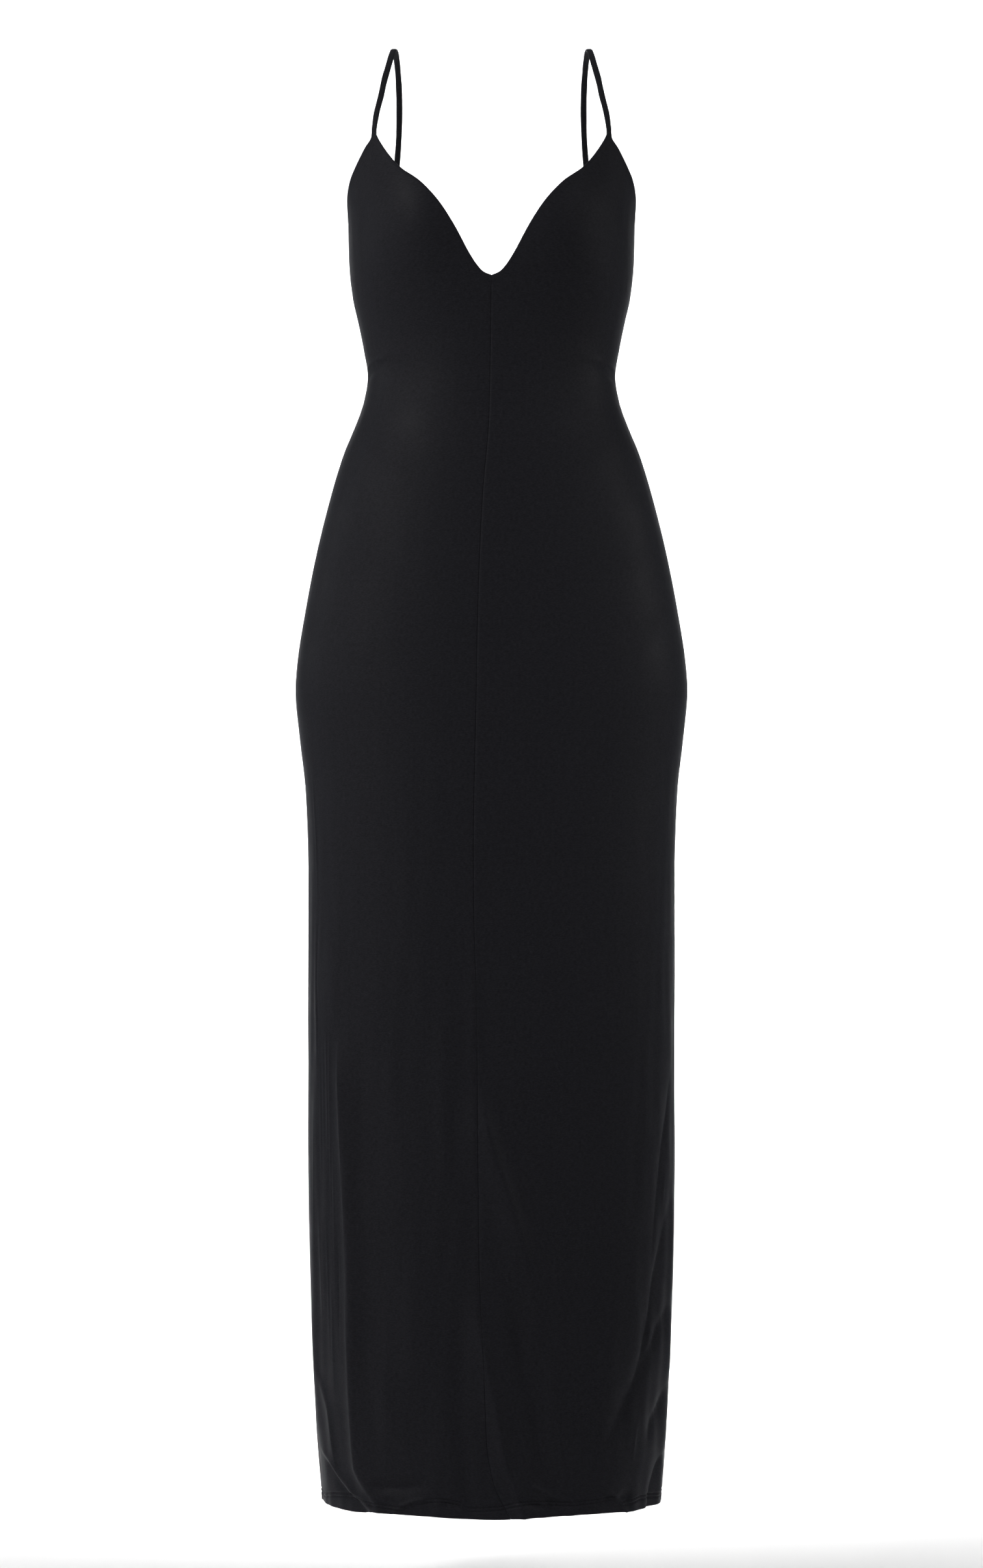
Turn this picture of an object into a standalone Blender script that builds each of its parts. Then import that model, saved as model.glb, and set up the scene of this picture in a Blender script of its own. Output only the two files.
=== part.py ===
"""A floor-length slip dress in black jersey, filled out as it is worn, open at neck, armholes and hem.

Metres, +Z up, -Y is the front. The origin is midway between the two straps where they cross the
shoulders, so the whole dress hangs below it. The body is a stack of oval rings. The front is cut in two
halves with a centre seam, the back is one low panel, and two narrow tubes go over the shoulders.
"""
import math
from collections import namedtuple

import bmesh
import bpy
from mathutils import Vector

for old in list(bpy.data.objects):
    bpy.data.objects.remove(old, do_unlink=True)

MM = 0.001

# Cloth
CLOTH = 1.6 * MM           # thickness of the jersey wall
HEM_CLOTH = 2.8 * MM       # two layers where the hem is turned up inside
SEAM_GAP = 0.3 * MM        # between two pieces that are sewn together
HEM_DEPTH = 12 * MM

# Heights
BASE_Z = -245 * MM         # below this the rows of the walls are level
HEM_Z = -1356 * MM

# Neck, armholes and straps
PEAK_X = 108.6 * MM        # middle of the cup's peak, where the strap leaves it
PEAK_HALF_WIDTH = 3.0 * MM
PEAK_Z = -93.0 * MM
SIDE_TOP_Z = -204.7 * MM   # underarm, top of the side seam
BACK_DIP = 18 * MM         # the back's top edge dips this far at its middle
STRAP_WIDTH = 5.8 * MM
STRAP_THICK = 2.4 * MM

# Bust shaping: a soft mound in each front half
BUST_X = 72 * MM
BUST_Z = -168 * MM
BUST_FULLNESS = 15 * MM
BUST_SPREAD_X = 45 * MM
BUST_SPREAD_Z = 52 * MM

# How finely the walls are divided
NECK_COLUMNS = 12
ARMHOLE_COLUMNS = 8
BACK_COLUMNS = 24
TOP_ROWS = 9
STRAP_STATIONS = 34
STRAP_SIDES = 8

# The figure's form, all sizes in mm: one row for each ring, from the shoulders down
Section = namedtuple("Section", "z half_width front_depth back_depth squareness")
FORM = (
    Section(-86, 140.0, 92, 96, 2.20),
    Section(-110, 140.5, 97, 98, 2.20),
    Section(-136, 138.6, 101, 100, 2.25),
    Section(-170, 134.6, 102, 101, 2.30),
    Section(-205, 133.3, 100, 100, 2.30),
    Section(-233, 130.2, 96, 97, 2.25),
    Section(-258, 124.7, 92, 93, 2.20),
    Section(-282, 119.9, 89, 89, 2.15),
    Section(-307, 116.2, 88, 86, 2.15),
    Section(-331, 119.9, 89, 87, 2.15),
    Section(-355, 128.4, 92, 91, 2.15),
    Section(-380, 138.8, 95, 96, 2.15),
    Section(-429, 153.4, 100, 106, 2.15),
    Section(-477, 165.0, 104, 116, 2.15),
    Section(-526, 174.5, 107, 122, 2.15),
    Section(-575, 182.1, 109, 122, 2.15),
    Section(-600, 183.9, 110, 120, 2.15),
    Section(-648, 179.6, 111, 115, 2.20),
    Section(-697, 174.2, 113, 112, 2.25),
    Section(-770, 171.7, 115, 111, 2.30),
    Section(-1014, 171.7, 120, 112, 2.35),
    Section(-1185, 168.7, 125, 114, 2.40),
    Section(-1283, 164.4, 128, 116, 2.30),
    Section(-1356, 158.9, 130, 118, 2.20),
)

# Neckline, mm: distance from the centre and height, from the bottom of the V to the cup's peak
EdgePoint = namedtuple("EdgePoint", "x z")
NECKLINE = (
    EdgePoint(0.0, -223.5),
    EdgePoint(7.0, -220.5),
    EdgePoint(13.0, -214.5),
    EdgePoint(20.5, -203.0),
    EdgePoint(33.6, -179.0),
    EdgePoint(49.0, -155.5),
    EdgePoint(66.0, -137.0),
    EdgePoint(84.0, -123.0),
    EdgePoint(96.0, -108.4),
    EdgePoint(105.6, -93.0),
)

# Front armhole edge: degrees round the figure from the centre front, and height in mm
ArmPoint = namedtuple("ArmPoint", "angle z")
ARMHOLE = (
    ArmPoint(52.8, -93.0),
    ArmPoint(56.2, -99.8),
    ArmPoint(60.1, -108.8),
    ArmPoint(64.6, -118.0),
    ArmPoint(70.0, -127.0),
    ArmPoint(77.0, -141.2),
    ArmPoint(82.5, -161.0),
    ArmPoint(86.5, -182.0),
    ArmPoint(90.0, -204.7),
)

# The centre front seam wanders: height and distance from the middle, mm
SeamPoint = namedtuple("SeamPoint", "z x")
FRONT_SEAM = (
    SeamPoint(-1356, 17.0),
    SeamPoint(-1344, 11.0),
    SeamPoint(-1325, 2.5),
    SeamPoint(-1290, -4.0),
    SeamPoint(-1218, -6.8),
    SeamPoint(-1129, -11.0),
    SeamPoint(-1030, -12.2),
    SeamPoint(-898, -13.3),
    SeamPoint(-803, -16.0),
    SeamPoint(-744, -16.3),
    SeamPoint(-625, -14.2),
    SeamPoint(-519, -12.1),
    SeamPoint(-424, -8.0),
    SeamPoint(-353, -2.2),
    SeamPoint(-306, -1.0),
    SeamPoint(-226, 0.0),
)

# Level rows below the bodice, mm: from, to, and how many
Rows = namedtuple("Rows", "top low count")
LEVEL_ROWS = (
    Rows(-245, -340, 6),
    Rows(-340, -640, 10),
    Rows(-640, -900, 7),
    Rows(-900, -1343, 17),
    Rows(-1343, -1344, 1),
    Rows(-1344, -1356, 1),
)
BACK_TOP_ROWS = 3

# The largest folds. Angles are degrees round the figure (0 centre front, +90 the side at +X, 180 the
# middle of the back); z, width and height are mm; a negative height is a trough. The top fades in, and a
# fold that does not reach the hem fades out.
Fold = namedtuple("Fold", "name top low angle_top angle_mid angle_low width height")
FOLDS = (
    Fold("left edge fold", -905, -1345, -57.5, -53, -49, 11, 5.0),
    Fold("left edge hollow", -905, -1345, -48, -44, -40, 12, -2.5),
    Fold("left corner fold", -1235, -1380, -72, -63, -40, 13, 4.0),
    Fold("right upper fold", -915, -1150, 84, 69, 60, 11, 3.5),
    Fold("right edge fold", -1030, -1330, 84, 62, 39, 12, 5.0),
    Fold("right edge hollow", -1060, -1330, 74, 52, 30, 13, -3.0),
    Fold("right corner fold", -1210, -1380, 84, 66, 64, 11, 4.5),
    Fold("centre fold", -975, -1200, -5, 8, 17, 14, 3.0),
    Fold("seam fold", -1080, -1380, -6, 2, 15, 13, 4.0),
    Fold("seam hollow", -1120, -1380, 6, 14, 26, 14, -3.5),
    Fold("back left fold", -930, -1380, -128, -131, -134, 15, 5.0),
    Fold("back middle fold", -1010, -1380, 172, 176, 181, 18, 4.5),
    Fold("back right fold", -900, -1380, 133, 137, 139, 15, 5.5),
    Fold("back right hollow", -1000, -1380, 146, 151, 155, 18, -3.5),
)

# The path of the strap at -X over the shoulder, mm, from the cup's peak to the back's top edge
StrapPoint = namedtuple("StrapPoint", "x y z")
STRAP_PATH = (
    StrapPoint(-108.4, -62.0, -82.1),
    StrapPoint(-106.2, -52.5, -66.5),
    StrapPoint(-102.6, -43.5, -50.2),
    StrapPoint(-99.6, -34.0, -33.8),
    StrapPoint(-95.2, -20.5, -15.0),
    StrapPoint(-92.8, -9.5, -4.2),
    StrapPoint(-91.2, 0.0, 0.0),
    StrapPoint(-89.9, 11.0, -3.0),
    StrapPoint(-88.9, 23.0, -10.5),
    StrapPoint(-87.9, 39.0, -25.5),
    StrapPoint(-87.6, 54.0, -46.0),
    StrapPoint(-88.5, 67.0, -74.0),
    StrapPoint(-91.0, 75.5, -105.0),
    StrapPoint(-94.0, 80.5, -145.0),
    StrapPoint(-96.6, 80.5, -185.0),
)


def smooth_value(rows, key, value, at):
    """The column value of a table's rows, read along the column key on a smooth curve."""
    ordered = sorted(rows, key=lambda row: getattr(row, key))
    keys = [getattr(row, key) for row in ordered]
    values = [getattr(row, value) for row in ordered]
    at = min(max(at, keys[0]), keys[-1])
    i = 0
    while i < len(keys) - 2 and at > keys[i + 1]:
        i += 1

    def slope(k):
        """Tangent at row k: the mean of its two chords, weighted by the nearer one."""
        if k == 0:
            return (values[1] - values[0]) / (keys[1] - keys[0])
        if k == len(keys) - 1:
            return (values[k] - values[k - 1]) / (keys[k] - keys[k - 1])
        before = (values[k] - values[k - 1]) / (keys[k] - keys[k - 1])
        after = (values[k + 1] - values[k]) / (keys[k + 1] - keys[k])
        if before * after <= 0:
            return 0.0
        return 2 * before * after / (before + after)

    step = keys[i + 1] - keys[i]
    t = (at - keys[i]) / step
    rise = t * t * (3 - 2 * t)
    start_tangent = t * (1 - t) ** 2 * step * slope(i)
    end_tangent = t * t * (t - 1) * step * slope(i + 1)
    return values[i] * (1 - rise) + values[i + 1] * rise + start_tangent + end_tangent


def section_at(z):
    """The oval ring of the figure at height z, in metres."""
    sizes = [smooth_value(FORM, "z", column, z / MM) for column in Section._fields[1:4]]
    squareness = smooth_value(FORM, "z", "squareness", z / MM)
    return Section(z, *(size * MM for size in sizes), squareness)


def fold_angle(fold, t):
    """Where a fold lies at the share t of its length: a curve through its three angles."""
    return (fold.angle_top * (1 - t) * (1 - 2 * t)
            + fold.angle_mid * 4 * t * (1 - t)
            + fold.angle_low * t * (2 * t - 1))


def fold_height(angle, z, reach):
    """How far the folds move the cloth out at this angle and height; reach is metres per degree."""
    total = 0.0
    for fold in FOLDS:
        t = (z / MM - fold.top) / (fold.low - fold.top)
        if not 0 < t < 1:
            continue
        away = (angle - fold_angle(fold, t) + 180) % 360 - 180
        across = away * reach / (fold.width * MM)
        fade_in = math.sin(min(t / 0.45, 1) * math.pi / 2) ** 2
        fade_out = math.sin(min((1 - t) / 0.08, 1) * math.pi / 2) if fold.low < HEM_Z / MM - 1 \
            else math.sin(min((1 - t) / 0.4, 1) * math.pi / 2) ** 2
        total += fold.height * MM * math.exp(-across * across) * fade_in * fade_out
    return total


def bust_mound(x, z):
    """The cup's fullness in front of the plain ring."""
    across = (abs(x) - BUST_X) / BUST_SPREAD_X
    up = (z - BUST_Z) / BUST_SPREAD_Z
    return BUST_FULLNESS * math.exp(-across * across - up * up)


def plain_point(angle, z):
    """A point of the smooth figure; angle 0 is the centre front and 90 the side seam at +X."""
    ring = section_at(z)
    sine = math.sin(math.radians(angle))
    share = max(1 - abs(sine) ** ring.squareness, 0.0) ** (1 / ring.squareness)
    x = ring.half_width * sine
    if math.cos(math.radians(angle)) >= 0:
        return Vector((x, -ring.front_depth * share - bust_mound(x, z) * min(share * 2, 1), z))
    return Vector((x, ring.back_depth * share, z))


def cloth_point(angle, z):
    """A point of the cloth's outer face, with its folds."""
    point = plain_point(angle, z)
    before = plain_point(angle - 2, z)
    after = plain_point(angle + 2, z)
    along = after - before
    outward = Vector((along.y, -along.x, 0)).normalized()
    return point + outward * fold_height(angle, z, along.length / 4)


def seam_angle(z):
    """Degrees from the centre front to the wandering front seam."""
    offset = smooth_value(FRONT_SEAM, "z", "x", z / MM) * MM
    return math.degrees(math.asin(offset / section_at(z).half_width))


def level_rows():
    """Heights of the level rows, from the bodice to the hem."""
    heights = [BASE_Z]
    for rows in LEVEL_ROWS:
        step = (rows.low - rows.top) / rows.count
        heights += [(rows.top + step * (k + 1)) * MM for k in range(rows.count)]
    return heights


def front_columns():
    """Angle and top height of each column of a front half, from the centre seam to the side seam."""
    columns = []
    inner_peak = (PEAK_X - PEAK_HALF_WIDTH) / MM
    for k in range(NECK_COLUMNS + 1):
        x = inner_peak * (k / NECK_COLUMNS)
        z = smooth_value(NECKLINE, "x", "z", x) * MM
        columns.append((math.degrees(math.asin(x * MM / section_at(z).half_width)), z))
    first = ARMHOLE[0].angle
    for k in range(ARMHOLE_COLUMNS + 1):
        angle = first + (90 - first) * k / ARMHOLE_COLUMNS
        columns.append((angle, smooth_value(ARMHOLE, "angle", "z", angle) * MM))
    return columns


def back_top(angle):
    """Height of the back's top edge: level at the underarms, dipping to the middle."""
    return SIDE_TOP_Z - BACK_DIP * abs(math.cos(math.radians(angle))) ** 3


def column_heights(top, top_rows):
    """Heights down one column: its own steps to the bodice's base, then the level rows."""
    upper = [top + (BASE_Z - top) * k / top_rows for k in range(top_rows)]
    return upper + level_rows()


def front_grid(side):
    """Outer points of a front half, row by row; side is -1 for the half at -X and 1 for +X."""
    columns = [(angle, column_heights(top, TOP_ROWS)) for angle, top in front_columns()]
    grid = []
    for row in range(len(columns[0][1])):
        points = []
        for angle, heights in columns:
            z = heights[row]
            seam = seam_angle(z)
            points.append(cloth_point(side * angle + seam * (1 - angle / 90), z))
        points[0].x += side * SEAM_GAP / 2
        points[-1].y = -SEAM_GAP / 2
        grid.append(points if side > 0 else points[::-1])
    return grid


def back_grid():
    """Outer points of the back, row by row, from the side seam at +X round to the one at -X."""
    angles = [90 + 180 * k / BACK_COLUMNS for k in range(BACK_COLUMNS + 1)]
    columns = [column_heights(back_top(angle), BACK_TOP_ROWS) for angle in angles]
    grid = []
    for row in range(len(columns[0])):
        points = [cloth_point(angle, heights[row]) for angle, heights in zip(angles, columns)]
        points[0].y = SEAM_GAP / 2
        points[-1].y = SEAM_GAP / 2
        grid.append(points)
    return grid


def inner_grid(outer):
    """The cloth's inner points: each outer point moved in by the cloth's thickness."""
    rows = len(outer)
    columns = len(outer[0])
    inner = []
    for r in range(rows):
        points = []
        for c in range(columns):
            across = outer[r][min(c + 1, columns - 1)] - outer[r][max(c - 1, 0)]
            down = outer[min(r + 1, rows - 1)][c] - outer[max(r - 1, 0)][c]
            inward = across.cross(down).normalized()
            if c in (0, columns - 1):
                # at a seam the wall's edge stays in the plane of the seam
                inward = edge_inward(outer[r][c], inward)
            turned_up = outer[r][c].z < HEM_Z + HEM_DEPTH + 0.1 * MM
            points.append(outer[r][c] + inward * (HEM_CLOTH if turned_up else CLOTH))
        inner.append(points)
    return inner


def edge_inward(point, inward):
    """The inward direction at a seam, turned so that the two walls there stay parallel."""
    if abs(point.y) < SEAM_GAP:
        return Vector((-math.copysign(1, point.x), 0, 0))
    return Vector((0, inward.y, inward.z)).normalized()


def jersey(name, colour, roughness):
    """The cloth's plain material."""
    material = bpy.data.materials.new(name)
    material.use_nodes = True
    shader = material.node_tree.nodes["Principled BSDF"]
    shader.inputs["Base Color"].default_value = (*colour, 1)
    shader.inputs["Roughness"].default_value = roughness
    shader.inputs["Metallic"].default_value = 0.0
    return material


def place(name, bm, material):
    """A named object from a finished mesh."""
    bmesh.ops.recalc_face_normals(bm, faces=bm.faces)
    mesh = bpy.data.meshes.new(name)
    bm.to_mesh(mesh)
    bm.free()
    mesh.materials.append(material)
    mesh.shade_smooth()
    mesh.set_sharp_from_angle(angle=math.radians(40))
    obj = bpy.data.objects.new(name, mesh)
    bpy.context.scene.collection.objects.link(obj)
    return obj


def add_wall(name, outer, material):
    """A cloth panel: an outer and an inner sheet, closed all round its edge."""
    inner = inner_grid(outer)
    bm = bmesh.new()
    out = [[bm.verts.new(point) for point in row] for row in outer]
    back = [[bm.verts.new(point) for point in row] for row in inner]
    rows = len(out)
    columns = len(out[0])
    for r in range(rows - 1):
        for c in range(columns - 1):
            bm.faces.new((out[r][c], out[r + 1][c], out[r + 1][c + 1], out[r][c + 1]))
            bm.faces.new((back[r][c], back[r][c + 1], back[r + 1][c + 1], back[r + 1][c]))
    for r in range(rows - 1):
        for c in (0, columns - 1):
            bm.faces.new((out[r][c], out[r + 1][c], back[r + 1][c], back[r][c]))
    for c in range(columns - 1):
        for r in (0, rows - 1):
            bm.faces.new((out[r][c], out[r][c + 1], back[r][c + 1], back[r][c]))
    return place(name, bm, material)


def curve_through(points, stations):
    """Evenly counted points on a smooth curve through the given ones."""
    result = []
    last = len(points) - 1
    for k in range(stations):
        place_on = last * k / (stations - 1)
        i = min(int(place_on), last - 1)
        t = place_on - i
        p1, p2 = points[i], points[i + 1]
        p0 = points[i - 1] if i > 0 else p1 * 2 - p2
        p3 = points[i + 2] if i + 2 <= last else p2 * 2 - p1
        result.append(0.5 * (p1 * 2 + (p2 - p0) * t + (p0 * 2 - p1 * 5 + p2 * 4 - p3) * t * t
                             + (p1 * 3 - p0 - p2 * 3 + p3) * t ** 3))
    return result


def strap_ends():
    """Where the strap at -X meets the cup's peak and the back's top edge, in the middle of each wall."""
    peak_angle = -math.degrees(math.asin(PEAK_X / section_at(PEAK_Z).half_width))
    peak = cloth_point(peak_angle, PEAK_Z) + Vector((0, CLOTH / 2, SEAM_GAP))
    back_angle = 180 + math.degrees(math.asin(98.0 * MM / section_at(SIDE_TOP_Z).half_width))
    seat_z = back_top(back_angle)
    seat = cloth_point(back_angle, seat_z)
    towards_axis = Vector((-seat.x, -seat.y, 0)).normalized()
    return peak, seat + towards_axis * CLOTH / 2 + Vector((0, 0, SEAM_GAP))


def add_strap(name, side, material):
    """A narrow turned tube, flat on the shoulder, from a cup's peak to the back's top edge."""
    peak, seat = strap_ends()
    route = [peak] + [Vector(point) * MM for point in STRAP_PATH] + [seat]
    centres = curve_through(route, STRAP_STATIONS)
    bm = bmesh.new()
    rings = []
    for k, centre in enumerate(centres):
        ends = k in (0, len(centres) - 1)
        tangent = (centres[min(k + 1, len(centres) - 1)] - centres[max(k - 1, 0)]).normalized()
        if ends:
            tangent = Vector((0, 0, 1 if k == 0 else -1))
        wide = Vector((1, 0, 0))
        if k == len(centres) - 1:
            wide = Vector((0.86, -0.51, 0))
        wide = (wide - tangent * wide.dot(tangent)).normalized()
        thick = tangent.cross(wide)
        ring = []
        for step in range(STRAP_SIDES):
            turn = 2 * math.pi * (step + 0.5) / STRAP_SIDES
            cosine, sine = math.cos(turn), math.sin(turn)
            flat = math.copysign(abs(cosine) ** 0.6, cosine) * STRAP_WIDTH / 2
            tall = math.copysign(abs(sine) ** 0.6, sine) * STRAP_THICK / 2
            point = centre + wide * flat + thick * tall
            ring.append(bm.verts.new((point.x * -side, point.y, point.z)))
        rings.append(ring)
    for ring, after in zip(rings, rings[1:]):
        for step in range(STRAP_SIDES):
            other = (step + 1) % STRAP_SIDES
            bm.faces.new((ring[step], ring[other], after[other], after[step]))
    bm.faces.new(rings[0])
    bm.faces.new(rings[-1])
    return place(name, bm, material)


black_jersey = jersey("black_jersey", (0.012, 0.012, 0.014), 0.55)
strap_jersey = jersey("strap_jersey", (0.013, 0.013, 0.015), 0.6)
add_wall("front_left", front_grid(-1), black_jersey)
add_wall("front_right", front_grid(1), black_jersey)
add_wall("back", back_grid(), black_jersey)
add_strap("strap_left", -1, strap_jersey)
add_strap("strap_right", 1, strap_jersey)
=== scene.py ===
"""The looks of a floor-length slip dress in slinky black jersey, filled out as it is worn.

Metres, +Z up, -Y is the front. Angles go round the dress: 0 at the centre front, 90 at the side seam at
+X, 180 at the middle of the back.
"""
import math
from collections import namedtuple

import bpy
import numpy as np
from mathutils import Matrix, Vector


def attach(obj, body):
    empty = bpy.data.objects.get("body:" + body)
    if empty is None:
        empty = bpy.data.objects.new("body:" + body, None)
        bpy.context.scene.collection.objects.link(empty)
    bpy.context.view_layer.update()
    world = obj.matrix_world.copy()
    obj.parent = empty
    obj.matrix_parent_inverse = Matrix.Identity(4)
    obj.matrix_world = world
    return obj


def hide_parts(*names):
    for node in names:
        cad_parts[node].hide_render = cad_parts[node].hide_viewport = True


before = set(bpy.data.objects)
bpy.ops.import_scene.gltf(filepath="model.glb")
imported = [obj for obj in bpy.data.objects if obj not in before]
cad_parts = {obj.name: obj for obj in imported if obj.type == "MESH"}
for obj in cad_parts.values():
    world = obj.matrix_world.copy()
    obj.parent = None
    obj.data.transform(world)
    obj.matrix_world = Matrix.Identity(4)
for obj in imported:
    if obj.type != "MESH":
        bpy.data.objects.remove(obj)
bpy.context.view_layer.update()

# Front, two halves. Each is cut in one piece from the cup's peak to the hem, in slinky black jersey, and
# the two are sewn down a centre seam that has wandered to one side as the dress was filled out. The neck
# and armhole edges are turned in, and the hem is turned up inside.
MM = 0.001
CLOTH = 0.9 * MM            # one layer of jersey
TURNED_EDGE = 1.9 * MM      # the turned neck and armhole edges
TURNED_HEM = 1.9 * MM
TURN_UP = 12.5 * MM         # how far up the hem is turned
BASE_Z = -245 * MM          # the rows of the cloth are level below this
HEM_Z = -1356 * MM
SIDE_TOP_Z = -204.7 * MM

# The rings of the figure, in mm
Ring = namedtuple("Ring", "z half_width front_depth back_depth squareness")
FIGURE = (
    Ring(-86, 140.0, 92, 96, 2.20),
    Ring(-110, 140.5, 97, 98, 2.20),
    Ring(-136, 138.6, 101, 100, 2.25),
    Ring(-170, 134.6, 102, 101, 2.30),
    Ring(-205, 133.3, 100, 100, 2.30),
    Ring(-233, 130.2, 96, 97, 2.25),
    Ring(-258, 124.7, 92, 93, 2.20),
    Ring(-282, 119.9, 89, 89, 2.15),
    Ring(-307, 116.2, 88, 86, 2.15),
    Ring(-331, 119.9, 89, 87, 2.15),
    Ring(-355, 128.4, 92, 91, 2.15),
    Ring(-380, 138.8, 95, 96, 2.15),
    Ring(-429, 153.4, 100, 106, 2.15),
    Ring(-477, 165.0, 104, 116, 2.15),
    Ring(-526, 174.5, 107, 122, 2.15),
    Ring(-575, 182.1, 109, 122, 2.15),
    Ring(-600, 183.9, 110, 120, 2.15),
    Ring(-648, 179.6, 111, 115, 2.20),
    Ring(-697, 174.2, 113, 112, 2.25),
    Ring(-770, 171.7, 115, 111, 2.30),
    Ring(-1014, 171.7, 120, 112, 2.35),
    Ring(-1185, 168.7, 125, 114, 2.40),
    Ring(-1283, 164.4, 128, 116, 2.30),
    Ring(-1356, 158.9, 130, 118, 2.20),
)

# The fullness of each cup: how far it stands out, its middle, and how far it reaches across and down
CUP_FULLNESS = 15 * MM
CUP_X = 72 * MM
CUP_Z = -168 * MM
CUP_ACROSS = 45 * MM
CUP_DOWN = 52 * MM

# Neckline, mm, from the bottom of the V to the cup's peak
EdgePoint = namedtuple("EdgePoint", "x z")
NECKLINE = (
    EdgePoint(0.0, -223.5),
    EdgePoint(7.0, -220.5),
    EdgePoint(13.0, -214.5),
    EdgePoint(20.5, -203.0),
    EdgePoint(33.6, -179.0),
    EdgePoint(49.0, -155.5),
    EdgePoint(66.0, -137.0),
    EdgePoint(84.0, -123.0),
    EdgePoint(96.0, -108.4),
    EdgePoint(104.6, -94.5),
    EdgePoint(107.6, -88.0),
)

# Front armhole edge: angle and height in mm
ArmPoint = namedtuple("ArmPoint", "angle z")
ARMHOLE = (
    ArmPoint(51.7, -88.0),
    ArmPoint(53.3, -94.0),
    ArmPoint(56.2, -99.8),
    ArmPoint(60.1, -108.8),
    ArmPoint(64.6, -118.0),
    ArmPoint(70.0, -127.0),
    ArmPoint(77.0, -141.2),
    ArmPoint(82.5, -161.0),
    ArmPoint(86.5, -182.0),
    ArmPoint(90.0, -204.7),
)

# The centre front seam, mm
SeamPoint = namedtuple("SeamPoint", "z x")
FRONT_SEAM = (
    SeamPoint(-1356, 17.0),
    SeamPoint(-1344, 11.0),
    SeamPoint(-1325, 2.5),
    SeamPoint(-1290, -4.0),
    SeamPoint(-1218, -6.8),
    SeamPoint(-1129, -11.0),
    SeamPoint(-1030, -12.2),
    SeamPoint(-898, -13.3),
    SeamPoint(-803, -16.0),
    SeamPoint(-744, -16.3),
    SeamPoint(-625, -14.2),
    SeamPoint(-519, -12.1),
    SeamPoint(-424, -8.0),
    SeamPoint(-353, -2.2),
    SeamPoint(-306, -1.0),
    SeamPoint(-226, 0.0),
)

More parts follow.
